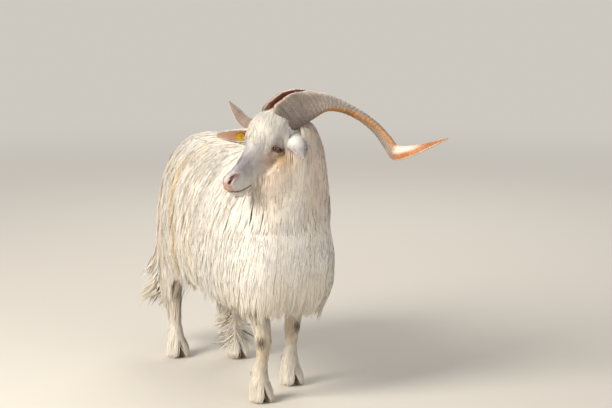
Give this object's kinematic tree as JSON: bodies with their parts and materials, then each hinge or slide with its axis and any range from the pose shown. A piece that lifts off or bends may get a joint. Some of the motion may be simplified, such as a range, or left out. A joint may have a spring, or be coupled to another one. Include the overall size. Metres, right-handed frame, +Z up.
{
  "type": "goat",
  "caption": "Long-haired white billy goat with wide screw horns, standing on all fours with its head turned to its right and a bare ear tag.",
  "frame": {"origin": "middle of the bounding box at floor level", "axes": "+Z up, -Y the way the body faces, +X the left side of the goat"},
  "size_m": [0.5652, 1.2282, 0.9107],
  "materials": {
    "coat": "long silky hair, cream white",
    "horn": "ridged horn, grey brown",
    "hoof": "dull hoof horn, tan brown",
    "eye": "wet amber eye with a level slot pupil",
    "tag": "plain yellow plastic, no print"
  },
  "bodies": {
    "root": {"dewclaw_fore_left_a": "hoof", "dewclaw_fore_left_b": "hoof", "dewclaw_fore_right_a": "hoof", "dewclaw_fore_right_b": "hoof", "dewclaw_hind_left_a": "hoof", "dewclaw_hind_left_b": "hoof", "dewclaw_hind_right_a": "hoof", "dewclaw_hind_right_b": "hoof", "ear_left": "coat", "ear_right": "coat", "ear_tag_button": "tag", "ear_tag_face": "tag", "eye_left": "eye", "eye_right": "eye", "foreleg_left": "coat", "foreleg_right": "coat", "head": "coat", "hindleg_left": "coat", "hindleg_right": "coat", "hoof_fore_left_a": "hoof", "hoof_fore_left_b": "hoof", "hoof_fore_right_a": "hoof", "hoof_fore_right_b": "hoof", "hoof_hind_left_a": "hoof", "hoof_hind_left_b": "hoof", "hoof_hind_right_a": "hoof", "hoof_hind_right_b": "hoof", "horn_left": "horn", "horn_right": "horn", "neck": "coat", "tail": "coat", "trunk": "coat"}
  },
  "joints": []
}
